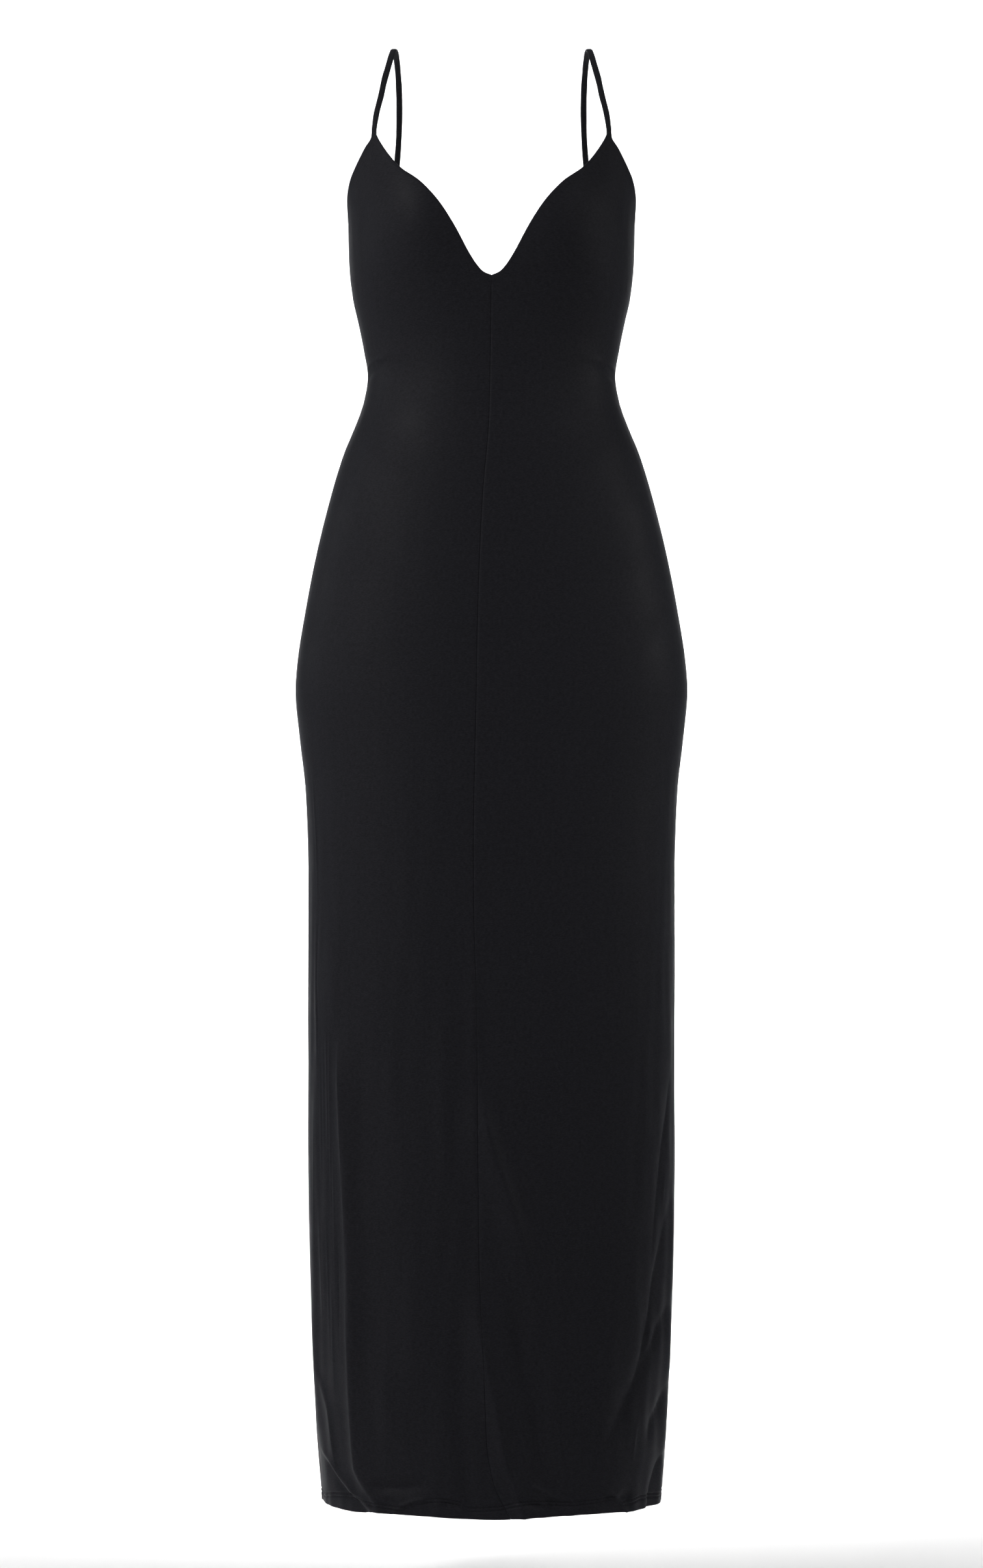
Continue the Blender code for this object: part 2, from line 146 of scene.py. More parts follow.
# The creases. A path is (angle, height in mm) pairs down the crease. Left and right are how
# far its flanks reach, in mm, seen from outside; a negative height is a hollow. Crisp 2 is a soft round form
# and 1 a sharp line. Fades are the shares of the path over which it rises and dies away, and a fade of 0 runs
# into an edge.
Crease = namedtuple("Crease", "path left right height crisp fade_in fade_out")
CREASES = (
    # left edge of the skirt: the long ridge where the front turns to the side, with a flat front beside it
    Crease(((-55.5, -908), (-54.4, -934), (-53.2, -971), (-52.2, -1012), (-51.0, -1053), (-49.9, -1100),
            (-49.4, -1151), (-49.7, -1200), (-49.8, -1243), (-49.4, -1285), (-48.9, -1313), (-47.0, -1323),
            (-44.5, -1331), (-42.2, -1339), (-39.8, -1350), (-39.0, -1360)), 7.5, 12, 6.4, 1.12, 0.14, 0),
    Crease(((-46.0, -908), (-43.5, -990), (-42.5, -1100), (-42.0, -1210), (-43.0, -1300)), 9, 22, -2.0, 2,
           0.12, 0.3),
    # fine streaks in the turned side
    Crease(((-62.8, -914), (-61.9, -985), (-61.2, -1065)), 1.6, 1.6, 0.42, 1.6, 0.12, 0.6),
    Crease(((-60.5, -913), (-60.1, -985), (-59.6, -1060), (-59.4, -1115)), 1.5, 1.5, 0.42, 1.6, 0.1, 0.6),
    Crease(((-65.3, -922), (-64.7, -997), (-64.4, -1060)), 1.7, 1.7, 0.34, 1.6, 0.25, 0.6),
    Crease(((-67.6, -935), (-66.9, -1020), (-66.8, -1080)), 1.7, 1.7, 0.30, 1.6, 0.3, 0.6),
    Crease(((-58.2, -1015), (-57.8, -1090), (-57.9, -1180)), 1.5, 1.6, 0.36, 1.6, 0.3, 0.5),
    Crease(((-63.4, -1075), (-62.8, -1150), (-62.8, -1225)), 1.8, 1.8, 0.42, 1.6, 0.4, 0.5),
    Crease(((-60.9, -1130), (-60.4, -1190), (-60.6, -1262)), 1.8, 1.8, 0.40, 1.6, 0.4, 0.5),
    Crease(((-69.3, -1060), (-68.2, -1140), (-67.8, -1205)), 2.0, 2.0, 0.42, 1.6, 0.4, 0.5),
    Crease(((-74.5, -975), (-73.6, -1060), (-73.8, -1150)), 2.4, 2.4, 0.45, 1.7, 0.4, 0.5),
    Crease(((-55.9, -1085), (-55.6, -1150), (-55.9, -1220)), 1.3, 1.3, -0.42, 1.6, 0.35, 0.4),
    # left hip and thigh: thin creases close to the side, ending above the streaks
    Crease(((-71.9, -750), (-71.8, -854), (-71.5, -890), (-70.4, -931), (-70.3, -985)), 3.0, 4.0, 0.85, 1.4,
           0.35, 0.45),
    Crease(((-71.6, -680), (-70.9, -740), (-69.8, -819)), 2.0, 2.0, 0.40, 1.5, 0.3, 0.4),
    Crease(((-65.3, -785), (-69.2, -824), (-70.6, -870), (-69.2, -915), (-70.0, -960)), 2.0, 1.6, -0.40, 1.5,
           0.3, 0.4),
    Crease(((-59.0, -790), (-58.0, -850), (-57.5, -903)), 13, 16, 1.5, 2, 0.5, 0.10),
    # left corner of the hem: two crests swing in from the side, and the cloth folds under them
    Crease(((-77.5, -1216), (-74.2, -1231), (-68.9, -1249), (-65.5, -1265), (-64.3, -1281), (-63.3, -1298),
            (-62.2, -1313), (-59.5, -1327)), 7, 4.5, 1.7, 1.2, 0.3, 0.3),
    Crease(((-78.5, -1300), (-73.5, -1305), (-69.4, -1309), (-64.4, -1317), (-60.2, -1326), (-55.5, -1333),
            (-53.1, -1338), (-46.6, -1346), (-42.4, -1355)), 3.0, 6.0, 1.8, 1.3, 0.3, 0),
    Crease(((-77.0, -1308), (-70.2, -1315), (-64.8, -1323), (-60.0, -1333), (-55.0, -1341), (-50.0, -1347),
            (-46.0, -1356)), 10, 2.6, -2.6, 1.3, 0.35, 0),
    # a soft swelling above the hem, rolled under, with the lip of the hem standing out below
    Crease(((-41.5, -1190), (-38.5, -1225), (-34.0, -1266), (-28.5, -1303)), 13, 13, 1.9, 2, 0.45, 0.25),
    Crease(((-44.0, -1331), (-37.6, -1331), (-31.0, -1331), (-25.0, -1328), (-19.0, -1328)), 6, 6, -3.2, 1.6,
           0.3, 0.35),
    Crease(((-34.0, -1357), (-31.8, -1351), (-27.0, -1344), (-22.3, -1341), (-16.8, -1340)), 3.0, 2.4, 2.2,
           1.4, 0.1, 0.4),
    Crease(((-17.5, -1344), (-13.5, -1345), (-9.0, -1349)), 3.0, 3.0, -2.4, 1.5, 0.4, 0.4),
    # middle of the skirt: a fold slants off the seam, and another follows the seam down to the hem
    Crease(((-3.4, -955), (-1.8, -990), (0.3, -1018), (2.9, -1042), (5.8, -1070), (8.9, -1100), (11.6, -1130),
            (14.5, -1170), (17.0, -1215)), 15, 7.5, 7.4, 1.5, 0.2, 0.45),
    Crease(((-5.2, -1120), (-4.1, -1176), (-2.0, -1207), (0.4, -1240), (2.7, -1275), (4.9, -1308),
            (8.3, -1333), (11.0, -1360)), 9, 7, 6.4, 1.4, 0.3, 0),
    Crease(((-5.3, -770), (-5.5, -880), (-5.6, -990), (-5.4, -1110)), 5.5, 3.5, 0.75, 1.7, 0.3, 0.4),
    Crease(((-3.2, -830), (-2.6, -900), (-1.8, -960)), 3.5, 12, -0.8, 2, 0.4, 0.4),
    Crease(((5.5, -1120), (8.5, -1190), (12.5, -1250), (17.0, -1310), (21.0, -1358)), 9, 16, -5.6, 2,
           0.35, 0),
    Crease(((-15.2, -880), (-14.9, -940), (-15.0, -1040), (-16.0, -1140)), 8, 8, 1.1, 2, 0.35, 0.5),
    Crease(((-26.5, -1090), (-24.5, -1180), (-24.0, -1270)), 12, 12, 1.3, 2, 0.45, 0.5),
    Crease(((-10.5, -1140), (-9.5, -1210), (-8.5, -1290), (-6.5, -1358)), 9, 9, -1.9, 2, 0.4, 0),
    # right thigh: a broad roundness inside the slanting folds
    Crease(((45.0, -1120), (41.0, -1190), (38.0, -1255), (36.5, -1320)), 15, 17, 2.1, 2, 0.45, 0.25),
    Crease(((27.0, -1110), (27.5, -1200), (26.5, -1300)), 14, 14, -1.2, 2, 0.45, 0.4),
    # the fullness at the side seams stands a little proud of the folds beside it
    Crease(((-77.0, -985), (-76.0, -1110), (-75.0, -1230), (-75.0, -1330)), 12, 11, 2.4, 2, 0.35, 0.2),
    Crease(((78.5, -1010), (77.0, -1120), (76.0, -1240), (76.0, -1358)), 10, 12, 2.6, 2, 0.35, 0),
    # right edge of the skirt: sharp folds that start at the side seam and swing down towards the middle
    Crease(((81.5, -930), (77.4, -951), (73.5, -972), (71.5, -997), (67.1, -1033), (65.7, -1054),
            (63.8, -1070), (61.6, -1100), (60.6, -1125), (60.0, -1155)), 8, 7, -3.2, 1.15, 0.5, 0.45),
    Crease(((87.0, -1048), (83.0, -1058), (76.6, -1073), (70.3, -1092), (68.0, -1110), (65.3, -1126),
            (62.2, -1147), (60.3, -1176), (58.1, -1198), (56.5, -1213), (53.4, -1232), (50.3, -1246),
            (46.6, -1261), (42.6, -1279), (39.8, -1290), (37.8, -1305)), 9, 10, -4.4, 1.12, 0.5, 0.25),
    Crease(((72.0, -1040), (69.0, -1062), (67.6, -1085)), 2.0, 2.0, 0.5, 1.5, 0.4, 0.4),
    Crease(((62.5, -1178), (60.6, -1198), (58.7, -1214)), 1.6, 1.6, 0.5, 1.5, 0.4, 0.4),
    Crease(((86.0, -1155), (82.6, -1161), (73.3, -1175), (67.1, -1188), (63.6, -1203), (59.9, -1214),
            (56.9, -1229), (54.0, -1240)), 5.5, 8, -3.0, 1.15, 0.6, 0.38),
    Crease(((86.0, -1228), (82.0, -1237), (74.5, -1249), (69.9, -1262), (64.7, -1274), (62.3, -1286),
            (61.7, -1303)), 6.5, 9, -3.4, 1.15, 0.6, 0.38),
    Crease(((56.5, -1262), (53.5, -1290), (52.8, -1318)), 2.2, 2.2, 0.6, 1.5, 0.4, 0.5),
    Crease(((86.0, -1301), (81.0, -1307), (73.6, -1312), (70.7, -1321), (68.4, -1332), (67.0, -1342),
            (66.8, -1360)), 6, 10, -3.2, 1.15, 0.6, 0),
    # right of the hem: where it rolls and is caught
    Crease(((33.5, -1318), (37.8, -1328), (42.0, -1336), (45.9, -1344), (51.1, -1357)), 3.2, 2.4, 2.2, 1.4,
           0.4, 0),
    Crease(((46.5, -1338), (50.0, -1342), (54.5, -1344)), 4.0, 4.0, -2.8, 1.5, 0.4, 0.4),
    Crease(((11.5, -1325), (14.5, -1329), (20.8, -1338), (25.5, -1343)), 2.6, 2.6, 1.7, 1.4, 0.4, 0.4),
    Crease(((3.0, -1336), (9.0, -1341), (16.0, -1347), (22.0, -1349)), 3.2, 3.0, -1.9, 1.5, 0.4, 0.4),
    # waist: the cloth breaks once at each side, and dies away towards the middle
    Crease(((-84.5, -305), (-76.0, -299.5), (-66.3, -296.5), (-57.8, -293), (-49.0, -288.5)), 3.4, 2.6, 1.9,
           1.3, 0.2, 0.5),
    Crease(((-84.0, -310), (-74.0, -305), (-64.5, -302), (-55.0, -299)), 3.4, 4.5, -1.6, 1.6, 0.25, 0.5),
    Crease(((84.5, -306), (76.0, -303), (64.5, -299.5), (55.1, -296), (43.0, -294)), 2.6, 3.4, 1.9, 1.3, 0.2,
           0.5),
    Crease(((84.0, -311), (74.0, -308.5), (64.0, -305.5), (55.0, -302.5)), 4.5, 3.4, -1.6, 1.6, 0.25, 0.5),
    # gathers under the left cup's peak, where the strap draws the cloth up
    Crease(((-52.6, -98), (-53.2, -112), (-53.4, -130)), 1.4, 1.4, 0.55, 1.6, 0.3, 0.6),
    Crease(((-50.4, -97), (-50.5, -112), (-50.6, -134)), 1.4, 1.4, 0.6, 1.6, 0.25, 0.6),
    Crease(((-48.2, -104), (-47.2, -114), (-46.6, -128)), 1.4, 1.4, 0.42, 1.7, 0.3, 0.6),
    Crease(((-45.8, -112), (-44.6, -122), (-44.0, -134)), 1.4, 1.4, 0.32, 1.7, 0.3, 0.6),
    Crease(((50.4, -98), (50.2, -110), (50.0, -124)), 1.4, 1.4, 0.26, 1.7, 0.3, 0.6),
    # sides and back, which the photograph's side doesn't show: folds of the same kinds
    Crease(((99.0, -935), (105.0, -975), (109.5, -1040), (113.0, -1110), (115.5, -1180)), 7, 9, -2.4, 1.15,
           0.25, 0.45),
    Crease(((93.0, -1060), (101.0, -1085), (109.0, -1125), (115.0, -1185), (121.0, -1240), (129.0, -1290)), 8,
           10, -3.1, 1.15, 0.18, 0.3),
    Crease(((95.0, -1180), (104.0, -1205), (112.0, -1250), (117.0, -1300), (119.0, -1360)), 7, 7, -2.6, 1.2,
           0.25, 0),
    Crease(((133.5, -885), (136.0, -1000), (138.0, -1130), (138.5, -1250), (139.5, -1360)), 13, 11, 4.6, 1.7,
           0.3, 0),
    Crease(((146.0, -1000), (150.0, -1130), (153.0, -1250), (155.0, -1360)), 15, 15, -3.4, 2, 0.35, 0),
    Crease(((128.0, -930), (128.5, -1010), (129.5, -1100)), 1.8, 1.8, 0.42, 1.6, 0.25, 0.6),
    Crease(((130.5, -950), (131.0, -1040), (131.5, -1120)), 1.8, 1.8, 0.40, 1.6, 0.3, 0.6),
    Crease(((126.0, -1180), (128.0, -1240), (132.0, -1300), (139.0, -1345)), 6, 5, 1.7, 1.3, 0.35, 0.25),
    Crease(((172.5, -1000), (175.0, -1110), (179.0, -1230), (182.0, -1360)), 16, 14, 4.0, 1.8, 0.4, 0),
    Crease(((166.0, -1080), (166.5, -1200), (168.0, -1360)), 13, 13, -2.3, 2, 0.4, 0),
    Crease(((189.0, -1050), (191.0, -1190), (192.0, -1360)), 14, 14, -2.0, 2, 0.4, 0),
    Crease(((206.0, -960), (207.5, -1080), (206.0, -1190)), 11, 11, 1.3, 2, 0.4, 0.5),
    Crease(((232.0, -925), (229.5, -1050), (227.0, -1180), (226.0, -1280), (225.5, -1360)), 12, 10, 4.6, 1.4,
           0.2, 0),
    Crease(((236.0, -930), (234.5, -1010), (233.5, -1090)), 1.7, 1.7, 0.42, 1.6, 0.2, 0.6),
    Crease(((239.0, -945), (237.5, -1030), (236.5, -1110)), 1.7, 1.7, 0.38, 1.6, 0.3, 0.6),
    Crease(((262.0, -980), (254.0, -1020), (249.5, -1085), (247.0, -1160)), 7, 7, -2.3, 1.15, 0.3, 0.45),
    Crease(((265.0, -1190), (256.0, -1215), (248.5, -1260), (243.0, -1310), (240.0, -1360)), 8, 7, -2.8, 1.2,
           0.25, 0),
    Crease(((214.0, -1331), (206.0, -1330), (197.0, -1332)), 7, 7, -1.8, 2, 0.35, 0.35),
    Crease(((150.0, -1333), (158.0, -1331), (165.0, -1334)), 6, 6, -1.6, 2, 0.35, 0.35),
    # small of the back: the cloth bridges the hollow and breaks over it
    Crease(((112.0, -318), (130.0, -322), (150.0, -327), (166.0, -329)), 6, 6, -1.0, 1.8, 0.3, 0.4),
    Crease(((115.0, -303), (132.0, -309), (150.0, -315)), 5, 4, 0.9, 1.5, 0.3, 0.45),
    Crease(((248.0, -316), (230.0, -322), (212.0, -328), (196.0, -331)), 6, 6, -1.1, 1.8, 0.3, 0.4),
    Crease(((246.0, -301), (229.0, -308), (213.0, -315)), 4, 5, 0.9, 1.5, 0.3, 0.45),
    Crease(((118.0, -345), (134.0, -350), (148.0, -357)), 5, 5, 0.6, 1.7, 0.35, 0.45),
    Crease(((243.0, -343), (228.0, -348), (214.0, -356)), 5, 5, 0.6, 1.7, 0.35, 0.45),
)


def read_curve(rows, column, key, at):
    """A column of a table read along its key, on a smooth curve that never overshoots the rows."""
    ordered = sorted(rows, key=lambda row: getattr(row, key))
    keys = np.array([getattr(row, key) for row in ordered], float)
    values = np.array([getattr(row, column) for row in ordered], float)
    chord = np.diff(values) / np.diff(keys)
    slope = np.zeros(len(keys))
    slope[0], slope[-1] = chord[0], chord[-1]
    total = chord[:-1] + chord[1:]
    same_way = chord[:-1] * chord[1:] > 0
    slope[1:-1] = np.where(same_way, 2 * chord[:-1] * chord[1:] / np.where(same_way, total, 1), 0)
    at = np.clip(at, keys[0], keys[-1])
    i = np.clip(np.searchsorted(keys, at, side="right") - 1, 0, len(keys) - 2)
    step = keys[i + 1] - keys[i]
    t = (at - keys[i]) / step
    rise = t * t * (3 - 2 * t)
    tangents = t * (1 - t) ** 2 * step * slope[i] + t * t * (t - 1) * step * slope[i + 1]
    return values[i] * (1 - rise) + values[i + 1] * rise + tangents


def plain_cloth(angle, z):
    """Points of the smooth figure at these angles and heights."""
    half_width, front, back, squareness = (
        read_curve(FIGURE, column, "z", z / MM) for column in Ring._fields[1:])
    sine, cosine = np.sin(np.radians(angle)), np.cos(np.radians(angle))
    share = np.maximum(1 - np.abs(sine) ** squareness, 0) ** (1 / squareness)
    x = half_width * MM * sine
    cup = CUP_FULLNESS * np.exp(-((np.abs(x) - CUP_X) / CUP_ACROSS) ** 2 - ((z - CUP_Z) / CUP_DOWN) ** 2)
    y = np.where(cosine >= 0, -front * MM * share - cup * np.minimum(share * 2, 1), back * MM * share)
    return np.stack([x, y, z], -1)


def crease_lift(crease, angle, z, reach):
    """How far one crease moves the cloth; reach is metres per degree round the dress."""
    corners = np.array(crease.path, float)
    turns = np.linspace(0, len(corners) - 1, 3 * len(corners))
    order = np.arange(len(corners))
    path_angle, path_z = (
        read_curve([EdgePoint(k, value) for k, value in zip(order, column)], "z", "x", turns)
        for column in corners.T)
    path_z = path_z * MM
    nearest = np.full(angle.shape, 1.0)
    along = np.zeros(angle.shape)
    to_right = np.zeros(angle.shape)
    for k in range(len(turns) - 1):
        to_x = ((angle - path_angle[k] + 180) % 360 - 180) * reach
        to_z = z - path_z[k]
        run_x = (path_angle[k + 1] - path_angle[k]) * reach
        run_z = path_z[k + 1] - path_z[k]
        t = np.clip((to_x * run_x + to_z * run_z) / (run_x ** 2 + run_z ** 2), 0, 1)
        away = np.hypot(to_x - t * run_x, to_z - t * run_z)
        closer = away < nearest
        nearest = np.where(closer, away, nearest)
        along = np.where(closer, (k + t) / (len(turns) - 1), along)
        to_right = np.where(closer, run_x * to_z - run_z * to_x, to_right)
    width = np.where(to_right > 0, crease.right, crease.left) * MM
    rise = np.sin(np.minimum(along / crease.fade_in, 1) * math.pi / 2) ** 2
    left_to_go = np.minimum((1 - along) / crease.fade_out, 1) if crease.fade_out else 1.0
    die = np.sin(left_to_go * math.pi / 2) ** 2
    return crease.height * MM * np.exp(-(nearest / width) ** crease.crisp) * rise * die


# Height of the hem's upper row of stitching over the hem, mm, round the dress
HemPoint = namedtuple("HemPoint", "angle height")
HEM_LINE = (
    HemPoint(-90, 11), HemPoint(-78, 8.5), HemPoint(-66, 13), HemPoint(-54, 15), HemPoint(-44, 10),
    HemPoint(-31.5, 6.5), HemPoint(-24, 14), HemPoint(-16.6, 17), HemPoint(-10.7, 15), HemPoint(-7, 9.5),
    HemPoint(2, 11), HemPoint(11, 15), HemPoint(19, 14), HemPoint(28, 12), HemPoint(36, 13),
    HemPoint(43, 15), HemPoint(48.5, 9), HemPoint(60, 12), HemPoint(75, 10), HemPoint(90, 11),
    HemPoint(112, 12.5), HemPoint(135, 11), HemPoint(160, 13.5), HemPoint(180, 11.5), HemPoint(203, 13),
    HemPoint(228, 11), HemPoint(250, 12.5), HemPoint(270, 11),
)
ROW_APART = 3.2 * MM
# How far the hem's edge rides up where the cloth above it rolls, mm
HEM_RISE = (
    HemPoint(-90, 0), HemPoint(-55, 0), HemPoint(-48, 0.8), HemPoint(-42, 2.8), HemPoint(-39, 3.3),
    HemPoint(-35, 2.8), HemPoint(-24, 2.4), HemPoint(-13, 1.3), HemPoint(-2, 0.4), HemPoint(3, 0.4),
    HemPoint(9, 1.4), HemPoint(14, 1.8), HemPoint(20, 1.2), HemPoint(31.5, 2.3), HemPoint(43.5, 1.8),
    HemPoint(54.5, 0), HemPoint(74.5, 0), HemPoint(110, 0), HemPoint(138, 1.6), HemPoint(160, 0.5),
    HemPoint(180, 1.4), HemPoint(203, 0.6), HemPoint(226, 1.8), HemPoint(250, 0), HemPoint(270, 0),
)
RISE_REACH = 40 * MM            # it dies away this far up
HEM_RIPPLE = 0.22 * MM          # the lip below the stitching
GROOVE_DEPTH = 0.8 * MM         # each row of stitching pulls the cloth in
GROOVE_WIDTH = 0.9 * MM

# The centre seam: a fine ditch in a soft hollow, slightly puckered. The side seams lie deeper.
SEAM_DEPTH = 0.42 * MM
SEAM_WIDTH = 0.6 * MM
SEAM_HOLLOW = 0.14 * MM
SEAM_HOLLOW_WIDTH = 2.2 * MM
SEAM_PUCKER = 0.04 * MM
SIDE_SEAM_DEPTH = 0.8 * MM
SIDE_SEAM_WIDTH = 1.7 * MM


def seam_angle(z):
    """The front seam's angle at each height."""
    offset = read_curve(FRONT_SEAM, "x", "z", z / MM)
    return np.degrees(np.arcsin(offset / read_curve(FIGURE, "half_width", "z", z / MM)))


WAVE_COUNT = 14


def hand(angle, z):
    """The cloth's small unevenness: long shallow waves, mostly down the skirt."""
    waves = np.random.default_rng(11)
    total = np.zeros(angle.shape)
    for _ in range(WAVE_COUNT):
        across = waves.uniform(6, 30)
        fall = waves.uniform(120, 500) * MM
        phase, lean = waves.uniform(0, 2 * math.pi), waves.uniform(-1, 1)
        total += np.sin(2 * math.pi * (angle / across * np.sign(lean) + z / fall) + phase)
    skirt = np.clip((-z - 0.55) / 0.5, 0.12, 1)
    return total / WAVE_COUNT * 1.1 * MM * skirt


def cloth(angle, z):
    """Points of the cloth's outer face, with its creases and seams."""
    point = plain_cloth(angle, z)
    after, before = plain_cloth(angle + 0.5, z), plain_cloth(angle - 0.5, z)
    across = after - before
    fall = plain_cloth(angle, z - 0.5 * MM) - plain_cloth(angle, z + 0.5 * MM)
    outward = np.cross(fall, across)
    outward /= np.linalg.norm(outward, axis=-1, keepdims=True)
    reach = np.linalg.norm(across, axis=-1)
    lift = hand(angle, z)
    for crease in CREASES:
        lift = lift + crease_lift(crease, angle, z, reach)
    to_seam = np.abs(angle - seam_angle(z)) * reach
    below_neck = np.clip((NECKLINE[0].z * MM - z) / (12 * MM), 0, 1)
    pucker = np.sin(z / (1.9 * MM)) * np.sin(z / (17 * MM)) * np.exp(-(to_seam / (4 * MM)) ** 2)
    ditch = SEAM_DEPTH * np.exp(-(to_seam / SEAM_WIDTH) ** 2)
    hollow = SEAM_HOLLOW * np.exp(-(to_seam / SEAM_HOLLOW_WIDTH) ** 2)
    lift = lift - below_neck * (ditch + hollow + SEAM_PUCKER * pucker)
    round_hem = (angle + 90) % 360 - 90
    over_hem = (z - HEM_Z) - read_curve(HEM_LINE, "height", "angle", round_hem) * MM
    for row in (0, 1):
        lift = lift - GROOVE_DEPTH * np.exp(-((over_hem + row * ROW_APART) / GROOVE_WIDTH) ** 2)
    caught = np.clip((3 * MM - over_hem) / (5 * MM), 0, 1)
    waves = np.sin(np.radians(angle * 41))
    waves += np.sin(np.radians(angle * 67 + 40)) * np.sin(np.radians(angle * 3))
    lift = lift + HEM_RIPPLE * caught * waves
    to_side = np.minimum(np.abs(angle - 90), np.minimum(np.abs(angle + 90), np.abs(angle - 270))) * reach
    lift = lift - SIDE_SEAM_DEPTH * np.exp(-(to_side / SIDE_SEAM_WIDTH) ** 2)
    rise = read_curve(HEM_RISE, "height", "angle", round_hem) * MM
    point[..., 2] += rise * np.clip((HEM_Z + RISE_REACH - z) / RISE_REACH, 0, 1)
    return point + outward * lift[..., None]


def cloth_shell(name, angle, z, flip):
    """One panel of cloth from a grid of angles and heights: outer face, inner face and round edges."""
    outer = cloth(angle, z)
    across = np.gradient(outer, axis=1)
    down = np.gradient(outer, axis=0)
    inward = np.cross(across, down)
    inward /= np.linalg.norm(inward, axis=-1, keepdims=True)
    if flip:
        inward = -inward
    for side in (0, -1):
        inward[:, side, 1] *= np.where(np.abs(outer[:, side, 1]) < 2 * MM, 0, 1)
    inward /= np.linalg.norm(inward, axis=-1, keepdims=True)
    from_top = np.linalg.norm(outer - outer[:1], axis=-1)
    thick = CLOTH + (TURNED_EDGE - CLOTH) * np.clip((5 * MM - from_top) / (1.5 * MM), 0, 1)
    hem_fold = np.clip((HEM_Z + TURN_UP - z) / MM, 0, 1)
    thick = np.maximum(thick, CLOTH + (TURNED_HEM - CLOTH) * hem_fold)[..., None]
    inner = outer + inward * thick
    rims = []
    for row, beyond in ((-1, 1), (0, 0)):
        centre = (outer[row] + inner[row]) / 2
        spoke = outer[row] - centre
        out = (outer[-1] - outer[-2]) if beyond else (outer[0] - outer[1])
        out /= np.linalg.norm(out, axis=-1, keepdims=True)
        radius = np.linalg.norm(spoke, axis=-1, keepdims=True)
        turns = [math.radians(turn) for turn in (36, 72, 108, 144)]
        rim = [centre + spoke * math.cos(turn) + out * radius * math.sin(turn) for turn in turns]
        rims.append(np.array(rim if beyond else rim[::-1]))
    loop = np.concatenate([outer, rims[0], inner[::-1], rims[1]])
    rows, columns = len(outer), angle.shape[1]
    count = len(loop)
    vertex = np.arange(count * columns).reshape(count, columns)
    ahead = np.roll(vertex, -1, axis=0)
    faces = np.stack([vertex[:, :-1], ahead[:, :-1], ahead[:, 1:], vertex[:, 1:]], -1).reshape(-1, 4)
    # the two long edges, at the seams
    out_row = np.arange(rows - 1)
    in_row = 2 * rows + len(rims[0]) - 1 - out_row
    for column, turned in ((0, False), (columns - 1, True)):
        strip = np.stack([vertex[out_row, column], vertex[in_row, column], vertex[in_row - 1, column],
                          vertex[out_row + 1, column]], -1)
        faces = np.concatenate([faces, strip[:, ::-1] if turned else strip])
    if flip:
        faces = faces[:, ::-1]
    quads = [tuple(face) for face in faces.tolist()]
    foot = [vertex[row, 0] for row in range(rows - 1, rows + len(rims[0]) + 1)]
    top = [vertex[row, 0] for row in range(count - len(rims[1]) - 1, count)] + [vertex[0, 0]]
    foot_end = [vertex[row, -1] for row in range(rows - 1, rows + len(rims[0]) + 1)][::-1]
    top_end = ([vertex[row, -1] for row in range(count - len(rims[1]) - 1, count)] + [vertex[0, -1]])[::-1]
    for cap in (foot, top, foot_end, top_end):
        cap = [int(k) for k in cap]
        quads.append(tuple(cap if flip else cap[::-1]))
    mesh = bpy.data.meshes.new(name)
    mesh.from_pydata(loop.reshape(-1, 3).tolist(), [], quads)
    mesh.validate()
    # the weave follows the cloth: across and down in metres
    round_row = np.cumsum(np.linalg.norm(np.diff(outer, axis=1, prepend=outer[:, :1]), axis=-1), axis=1)
    round_row = round_row - round_row[:, :1]
    flat_u = np.concatenate([round_row, np.repeat(round_row[-1:], 4, 0), round_row[::-1],
                             np.repeat(round_row[:1], 4, 0)])
    flat_v = loop[..., 2]
    uv = np.stack([flat_u, flat_v], -1).reshape(-1, 2)
    corner = np.empty(len(mesh.loops), int)
    mesh.loops.foreach_get("vertex_index", corner)
    layer = mesh.uv_layers.new(name="cloth")
    layer.data.foreach_set("uv", uv[corner].ravel())
    mesh.shade_smooth()
    piece = bpy.data.objects.new(name, mesh)
    bpy.context.scene.collection.objects.link(piece)
    return piece


# The level rows of the cloth, closer where it creases: how far down each band goes, mm, and its rows
Band = namedtuple("Band", "bottom rows")
BANDS = (Band(-322, 32), Band(-900, 55), Band(-1285, 85), Band(-1338, 34), Band(-1356, 31))


def heights(top, top_rows):
    """Heights down each column: from its own top to the base, then level rows to the hem."""
    upper = top + (BASE_Z - top) * np.linspace(0, 1, top_rows, endpoint=False)[:, None]
    level = [BASE_Z]
    for band in BANDS:
        level.extend(np.linspace(level[-1], band.bottom * MM, band.rows + 1)[1:])
    return np.concatenate([upper, np.repeat(np.array(level)[:, None], len(top), 1)])


KNIT_ACROSS = 420               # how fine the knit is, across and down
KNIT_DOWN = 1000


